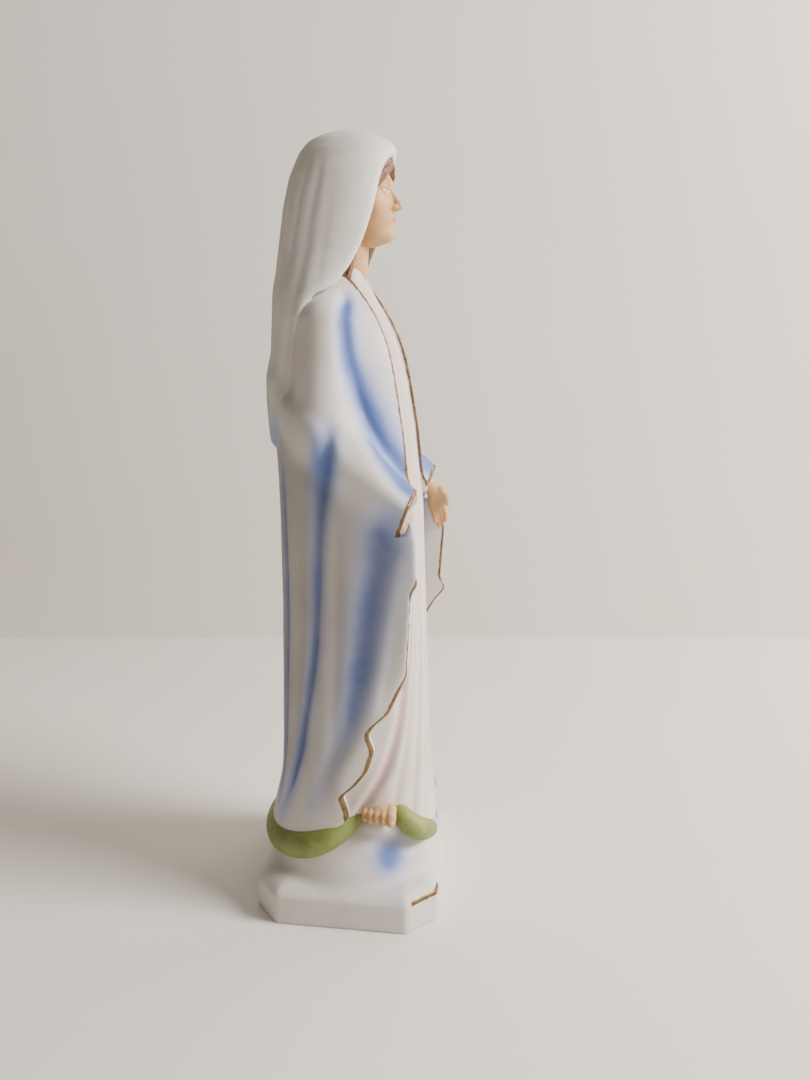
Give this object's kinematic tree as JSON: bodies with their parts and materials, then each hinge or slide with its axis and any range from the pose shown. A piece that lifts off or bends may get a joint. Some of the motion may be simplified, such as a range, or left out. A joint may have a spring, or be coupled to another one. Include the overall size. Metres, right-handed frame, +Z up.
{
  "type": "madonna statue",
  "caption": "Robed woman with open lowered hands standing on a globe with a serpent, on a low plinth with cut corners; stands upright on a shelf for prayer.",
  "frame": {"origin": "centre of the plinth's flat underside, on the surface that the figurine stands on", "axes": "+Z up the figure, -Y the way the figure faces, -X the figure's right hand"},
  "size_m": [0.0612, 0.0563, 0.216],
  "materials": {
    "white_bisque": "matt white unglazed bisque porcelain, pale grey shading, soft blue airbrushed spots and a gold brush line on the plinth",
    "gown_bisque": "matt white bisque with soft pink airbrushed folds",
    "mantle_bisque": "matt white bisque with periwinkle blue airbrushing and brown-gold brushed edges",
    "skin_paint": "matt bisque painted in a warm skin tone",
    "hair_paint": "matt bisque painted reddish brown",
    "serpent_green": "matt bisque painted olive green"
  },
  "bodies": {
    "root": {"base_plinth": "white_bisque", "base_globe": "white_bisque", "gown_skirt": "gown_bisque", "gown_bodice": "gown_bisque", "foot_right": "skin_paint", "foot_left": "skin_paint", "serpent_coil": "serpent_green", "serpent_loop": "serpent_green", "serpent_neck": "serpent_green", "serpent_head": "serpent_green", "sleeve_right": "mantle_bisque", "sleeve_left": "mantle_bisque", "hand_right": "skin_paint", "hand_left": "skin_paint", "mantle": "mantle_bisque", "mantle_fall_right": "mantle_bisque", "mantle_fall_left": "mantle_bisque", "neck": "skin_paint", "head": "skin_paint", "hair": "hair_paint", "veil": "mantle_bisque"}
  },
  "joints": []
}
